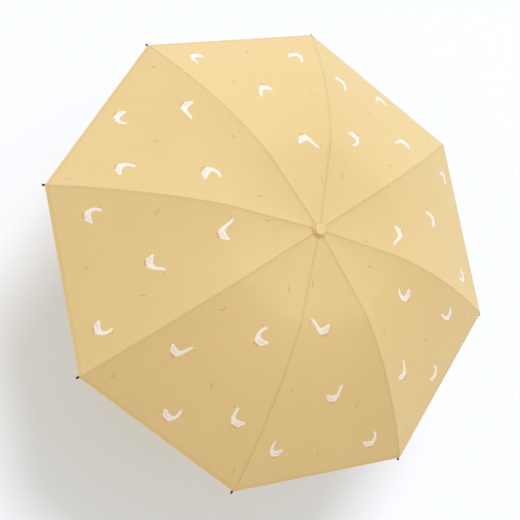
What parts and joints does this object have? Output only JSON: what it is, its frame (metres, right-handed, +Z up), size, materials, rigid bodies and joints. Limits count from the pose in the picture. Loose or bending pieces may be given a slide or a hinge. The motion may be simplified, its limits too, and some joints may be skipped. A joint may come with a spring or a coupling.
{
  "type": "children's umbrella",
  "caption": "Compact folding umbrella for a child: a round cloth canopy on folding ribs, a telescoping shaft with a sliding runner, and a straight grip.",
  "frame": {"origin": "bottom centre of the handle, on the shaft's axis", "axes": "+Z up along the shaft from the handle to the canopy's apex; +X along the first arm"},
  "size_m": [0.8892, 0.8892, 0.5089],
  "materials": {
    "handle_plastic": "satin moulded",
    "end_cap_plastic": "satin moulded",
    "tube_steel": "bright nickel plate",
    "collar_plastic": "black moulded",
    "hub_plastic": "black moulded",
    "ring_wire_steel": "drawn wire",
    "cap_plastic": "cream moulded",
    "rosette_cloth": "cloth-covered washer",
    "button_plastic": "moulded",
    "rib_steel": "electroplated channel",
    "stretcher_steel": "electroplated channel",
    "middle_rib_steel": "electroplated bar",
    "outer_rib_fibreglass": "black resin bar",
    "tip_plastic": "black moulded",
    "canopy_cloth": "printed polyester pongee"
  },
  "bodies": {
    "handle": {"handle_grip": "handle_plastic", "handle_end_cap": "end_cap_plastic", "lower_tube": "tube_steel"},
    "middle_shaft": {"middle_tube": "tube_steel", "middle_tube_collar": "collar_plastic"},
    "upper_shaft": {"upper_tube": "tube_steel", "upper_tube_collar": "collar_plastic", "crown": "hub_plastic", "crown_ring_wire": "ring_wire_steel", "rosette": "rosette_cloth", "top_cap": "cap_plastic", "canopy": "canopy_cloth"},
    "runner": {"runner": "hub_plastic", "runner_ring_wire": "ring_wire_steel"},
    "runner_button": {"runner_button": "button_plastic"},
    "top_rib_1": {"top_rib_1": "rib_steel"},
    "middle_rib_1": {"middle_rib_1": "middle_rib_steel"},
    "outer_rib_1": {"outer_rib_1": "outer_rib_fibreglass", "rib_tip_1": "tip_plastic"},
    "stretcher_1": {"stretcher_1": "stretcher_steel"},
    "top_rib_2": {"top_rib_2": "rib_steel"},
    "middle_rib_2": {"middle_rib_2": "middle_rib_steel"},
    "outer_rib_2": {"outer_rib_2": "outer_rib_fibreglass", "rib_tip_2": "tip_plastic"},
    "stretcher_2": {"stretcher_2": "stretcher_steel"},
    "top_rib_3": {"top_rib_3": "rib_steel"},
    "middle_rib_3": {"middle_rib_3": "middle_rib_steel"},
    "outer_rib_3": {"outer_rib_3": "outer_rib_fibreglass", "rib_tip_3": "tip_plastic"},
    "stretcher_3": {"stretcher_3": "stretcher_steel"},
    "top_rib_4": {"top_rib_4": "rib_steel"},
    "middle_rib_4": {"middle_rib_4": "middle_rib_steel"},
    "outer_rib_4": {"outer_rib_4": "outer_rib_fibreglass", "rib_tip_4": "tip_plastic"},
    "stretcher_4": {"stretcher_4": "stretcher_steel"},
    "top_rib_5": {"top_rib_5": "rib_steel"},
    "middle_rib_5": {"middle_rib_5": "middle_rib_steel"},
    "outer_rib_5": {"outer_rib_5": "outer_rib_fibreglass", "rib_tip_5": "tip_plastic"},
    "stretcher_5": {"stretcher_5": "stretcher_steel"},
    "top_rib_6": {"top_rib_6": "rib_steel"},
    "middle_rib_6": {"middle_rib_6": "middle_rib_steel"},
    "outer_rib_6": {"outer_rib_6": "outer_rib_fibreglass", "rib_tip_6": "tip_plastic"},
    "stretcher_6": {"stretcher_6": "stretcher_steel"},
    "top_rib_7": {"top_rib_7": "rib_steel"},
    "middle_rib_7": {"middle_rib_7": "middle_rib_steel"},
    "outer_rib_7": {"outer_rib_7": "outer_rib_fibreglass", "rib_tip_7": "tip_plastic"},
    "stretcher_7": {"stretcher_7": "stretcher_steel"},
    "top_rib_8": {"top_rib_8": "rib_steel"},
    "middle_rib_8": {"middle_rib_8": "middle_rib_steel"},
    "outer_rib_8": {"outer_rib_8": "outer_rib_fibreglass", "rib_tip_8": "tip_plastic"},
    "stretcher_8": {"stretcher_8": "stretcher_steel"}
  },
  "joints": [
    {"name": "lower_slide", "type": "slide", "parent": "handle", "child": "middle_shaft", "axis": [0, 0, -1], "range_m": [0, 0.115]},
    {"name": "upper_slide", "type": "slide", "parent": "middle_shaft", "child": "upper_shaft", "axis": [0, 0, -1], "range_m": [0, 0.115]},
    {"name": "runner_slide", "type": "slide", "parent": "upper_shaft", "child": "runner", "axis": [0, 0, -1], "range_m": [0, 0.0974], "deforming": ["canopy"]},
    {"name": "button_press", "type": "slide", "parent": "runner", "child": "runner_button", "axis": [-0.9239, 0.3827, 0], "range_m": [0, 0.0013], "stiffness_N_per_m": 300, "springref_m": -0.001},
    {"name": "top_hinge_1", "type": "hinge", "parent": "upper_shaft", "child": "top_rib_1", "pos_m": [0.009, 0, 0.5], "axis": [0, 1, 0], "range_deg": [0, 79.1]},
    {"name": "elbow_1", "type": "hinge", "parent": "top_rib_1", "child": "middle_rib_1", "pos_m": [0.167, 0, 0.4865], "axis": [0, 1, 0], "range_deg": [-192, 0]},
    {"name": "wrist_1", "type": "hinge", "parent": "middle_rib_1", "child": "outer_rib_1", "pos_m": [0.3, 0, 0.422], "axis": [0, 1, 0], "range_deg": [0, 163]},
    {"name": "stretcher_hinge_1", "type": "hinge", "parent": "runner", "child": "stretcher_1", "pos_m": [0.009, 0, 0.44], "axis": [0, 1, 0], "range_deg": [-47.6, 0]},
    {"name": "top_hinge_2", "type": "hinge", "parent": "upper_shaft", "child": "top_rib_2", "pos_m": [0.00636, 0.00636, 0.5], "axis": [-0.7071, 0.7071, 0], "range_deg": [0, 79.1]},
    {"name": "elbow_2", "type": "hinge", "parent": "top_rib_2", "child": "middle_rib_2", "pos_m": [0.11809, 0.11809, 0.4865], "axis": [-0.7071, 0.7071, 0], "range_deg": [-192, 0]},
    {"name": "wrist_2", "type": "hinge", "parent": "middle_rib_2", "child": "outer_rib_2", "pos_m": [0.21213, 0.21213, 0.422], "axis": [-0.7071, 0.7071, 0], "range_deg": [0, 163]},
    {"name": "stretcher_hinge_2", "type": "hinge", "parent": "runner", "child": "stretcher_2", "pos_m": [0.00636, 0.00636, 0.44], "axis": [-0.7071, 0.7071, 0], "range_deg": [-47.6, 0]},
    {"name": "top_hinge_3", "type": "hinge", "parent": "upper_shaft", "child": "top_rib_3", "pos_m": [0, 0.009, 0.5], "axis": [-1, 0, 0], "range_deg": [0, 79.1]},
    {"name": "elbow_3", "type": "hinge", "parent": "top_rib_3", "child": "middle_rib_3", "pos_m": [0, 0.167, 0.4865], "axis": [-1, 0, 0], "range_deg": [-192, 0]},
    {"name": "wrist_3", "type": "hinge", "parent": "middle_rib_3", "child": "outer_rib_3", "pos_m": [0, 0.3, 0.422], "axis": [-1, 0, 0], "range_deg": [0, 163]},
    {"name": "stretcher_hinge_3", "type": "hinge", "parent": "runner", "child": "stretcher_3", "pos_m": [0, 0.009, 0.44], "axis": [-1, 0, 0], "range_deg": [-47.6, 0]},
    {"name": "top_hinge_4", "type": "hinge", "parent": "upper_shaft", "child": "top_rib_4", "pos_m": [-0.00636, 0.00636, 0.5], "axis": [-0.7071, -0.7071, 0], "range_deg": [0, 79.1]},
    {"name": "elbow_4", "type": "hinge", "parent": "top_rib_4", "child": "middle_rib_4", "pos_m": [-0.11809, 0.11809, 0.4865], "axis": [-0.7071, -0.7071, 0], "range_deg": [-192, 0]},
    {"name": "wrist_4", "type": "hinge", "parent": "middle_rib_4", "child": "outer_rib_4", "pos_m": [-0.21213, 0.21213, 0.422], "axis": [-0.7071, -0.7071, 0], "range_deg": [0, 163]},
    {"name": "stretcher_hinge_4", "type": "hinge", "parent": "runner", "child": "stretcher_4", "pos_m": [-0.00636, 0.00636, 0.44], "axis": [-0.7071, -0.7071, 0], "range_deg": [-47.6, 0]},
    {"name": "top_hinge_5", "type": "hinge", "parent": "upper_shaft", "child": "top_rib_5", "pos_m": [-0.009, 0, 0.5], "axis": [0, -1, 0], "range_deg": [0, 79.1]},
    {"name": "elbow_5", "type": "hinge", "parent": "top_rib_5", "child": "middle_rib_5", "pos_m": [-0.167, 0, 0.4865], "axis": [0, -1, 0], "range_deg": [-192, 0]},
    {"name": "wrist_5", "type": "hinge", "parent": "middle_rib_5", "child": "outer_rib_5", "pos_m": [-0.3, 0, 0.422], "axis": [0, -1, 0], "range_deg": [0, 163]},
    {"name": "stretcher_hinge_5", "type": "hinge", "parent": "runner", "child": "stretcher_5", "pos_m": [-0.009, 0, 0.44], "axis": [0, -1, 0], "range_deg": [-47.6, 0]},
    {"name": "top_hinge_6", "type": "hinge", "parent": "upper_shaft", "child": "top_rib_6", "pos_m": [-0.00636, -0.00636, 0.5], "axis": [0.7071, -0.7071, 0], "range_deg": [0, 79.1]},
    {"name": "elbow_6", "type": "hinge", "parent": "top_rib_6", "child": "middle_rib_6", "pos_m": [-0.11809, -0.11809, 0.4865], "axis": [0.7071, -0.7071, 0], "range_deg": [-192, 0]},
    {"name": "wrist_6", "type": "hinge", "parent": "middle_rib_6", "child": "outer_rib_6", "pos_m": [-0.21213, -0.21213, 0.422], "axis": [0.7071, -0.7071, 0], "range_deg": [0, 163]},
    {"name": "stretcher_hinge_6", "type": "hinge", "parent": "runner", "child": "stretcher_6", "pos_m": [-0.00636, -0.00636, 0.44], "axis": [0.7071, -0.7071, 0], "range_deg": [-47.6, 0]},
    {"name": "top_hinge_7", "type": "hinge", "parent": "upper_shaft", "child": "top_rib_7", "pos_m": [0, -0.009, 0.5], "axis": [1, 0, 0], "range_deg": [0, 79.1]},
    {"name": "elbow_7", "type": "hinge", "parent": "top_rib_7", "child": "middle_rib_7", "pos_m": [0, -0.167, 0.4865], "axis": [1, 0, 0], "range_deg": [-192, 0]},
    {"name": "wrist_7", "type": "hinge", "parent": "middle_rib_7", "child": "outer_rib_7", "pos_m": [0, -0.3, 0.422], "axis": [1, 0, 0], "range_deg": [0, 163]},
    {"name": "stretcher_hinge_7", "type": "hinge", "parent": "runner", "child": "stretcher_7", "pos_m": [0, -0.009, 0.44], "axis": [1, 0, 0], "range_deg": [-47.6, 0]},
    {"name": "top_hinge_8", "type": "hinge", "parent": "upper_shaft", "child": "top_rib_8", "pos_m": [0.00636, -0.00636, 0.5], "axis": [0.7071, 0.7071, 0], "range_deg": [0, 79.1]},
    {"name": "elbow_8", "type": "hinge", "parent": "top_rib_8", "child": "middle_rib_8", "pos_m": [0.11809, -0.11809, 0.4865], "axis": [0.7071, 0.7071, 0], "range_deg": [-192, 0]},
    {"name": "wrist_8", "type": "hinge", "parent": "middle_rib_8", "child": "outer_rib_8", "pos_m": [0.21213, -0.21213, 0.422], "axis": [0.7071, 0.7071, 0], "range_deg": [0, 163]},
    {"name": "stretcher_hinge_8", "type": "hinge", "parent": "runner", "child": "stretcher_8", "pos_m": [0.00636, -0.00636, 0.44], "axis": [0.7071, 0.7071, 0], "range_deg": [-47.6, 0]}
  ],
  "couplings": [
    {"joint": "top_hinge_1", "follows": "runner_slide", "rad_per_m": 14.087},
    {"joint": "elbow_1", "follows": "runner_slide", "rad_per_m": -34.313},
    {"joint": "wrist_1", "follows": "runner_slide", "rad_per_m": 29.113},
    {"joint": "stretcher_hinge_1", "follows": "runner_slide", "rad_per_m": -8.436},
    {"joint": "top_hinge_2", "follows": "runner_slide", "rad_per_m": 14.087},
    {"joint": "elbow_2", "follows": "runner_slide", "rad_per_m": -34.313},
    {"joint": "wrist_2", "follows": "runner_slide", "rad_per_m": 29.113},
    {"joint": "stretcher_hinge_2", "follows": "runner_slide", "rad_per_m": -8.436},
    {"joint": "top_hinge_3", "follows": "runner_slide", "rad_per_m": 14.087},
    {"joint": "elbow_3", "follows": "runner_slide", "rad_per_m": -34.313},
    {"joint": "wrist_3", "follows": "runner_slide", "rad_per_m": 29.113},
    {"joint": "stretcher_hinge_3", "follows": "runner_slide", "rad_per_m": -8.436},
    {"joint": "top_hinge_4", "follows": "runner_slide", "rad_per_m": 14.087},
    {"joint": "elbow_4", "follows": "runner_slide", "rad_per_m": -34.313},
    {"joint": "wrist_4", "follows": "runner_slide", "rad_per_m": 29.113},
    {"joint": "stretcher_hinge_4", "follows": "runner_slide", "rad_per_m": -8.436},
    {"joint": "top_hinge_5", "follows": "runner_slide", "rad_per_m": 14.087},
    {"joint": "elbow_5", "follows": "runner_slide", "rad_per_m": -34.313},
    {"joint": "wrist_5", "follows": "runner_slide", "rad_per_m": 29.113},
    {"joint": "stretcher_hinge_5", "follows": "runner_slide", "rad_per_m": -8.436},
    {"joint": "top_hinge_6", "follows": "runner_slide", "rad_per_m": 14.087},
    {"joint": "elbow_6", "follows": "runner_slide", "rad_per_m": -34.313},
    {"joint": "wrist_6", "follows": "runner_slide", "rad_per_m": 29.113},
    {"joint": "stretcher_hinge_6", "follows": "runner_slide", "rad_per_m": -8.436},
    {"joint": "top_hinge_7", "follows": "runner_slide", "rad_per_m": 14.087},
    {"joint": "elbow_7", "follows": "runner_slide", "rad_per_m": -34.313},
    {"joint": "wrist_7", "follows": "runner_slide", "rad_per_m": 29.113},
    {"joint": "stretcher_hinge_7", "follows": "runner_slide", "rad_per_m": -8.436},
    {"joint": "top_hinge_8", "follows": "runner_slide", "rad_per_m": 14.087},
    {"joint": "elbow_8", "follows": "runner_slide", "rad_per_m": -34.313},
    {"joint": "wrist_8", "follows": "runner_slide", "rad_per_m": 29.113},
    {"joint": "stretcher_hinge_8", "follows": "runner_slide", "rad_per_m": -8.436}
  ]
}
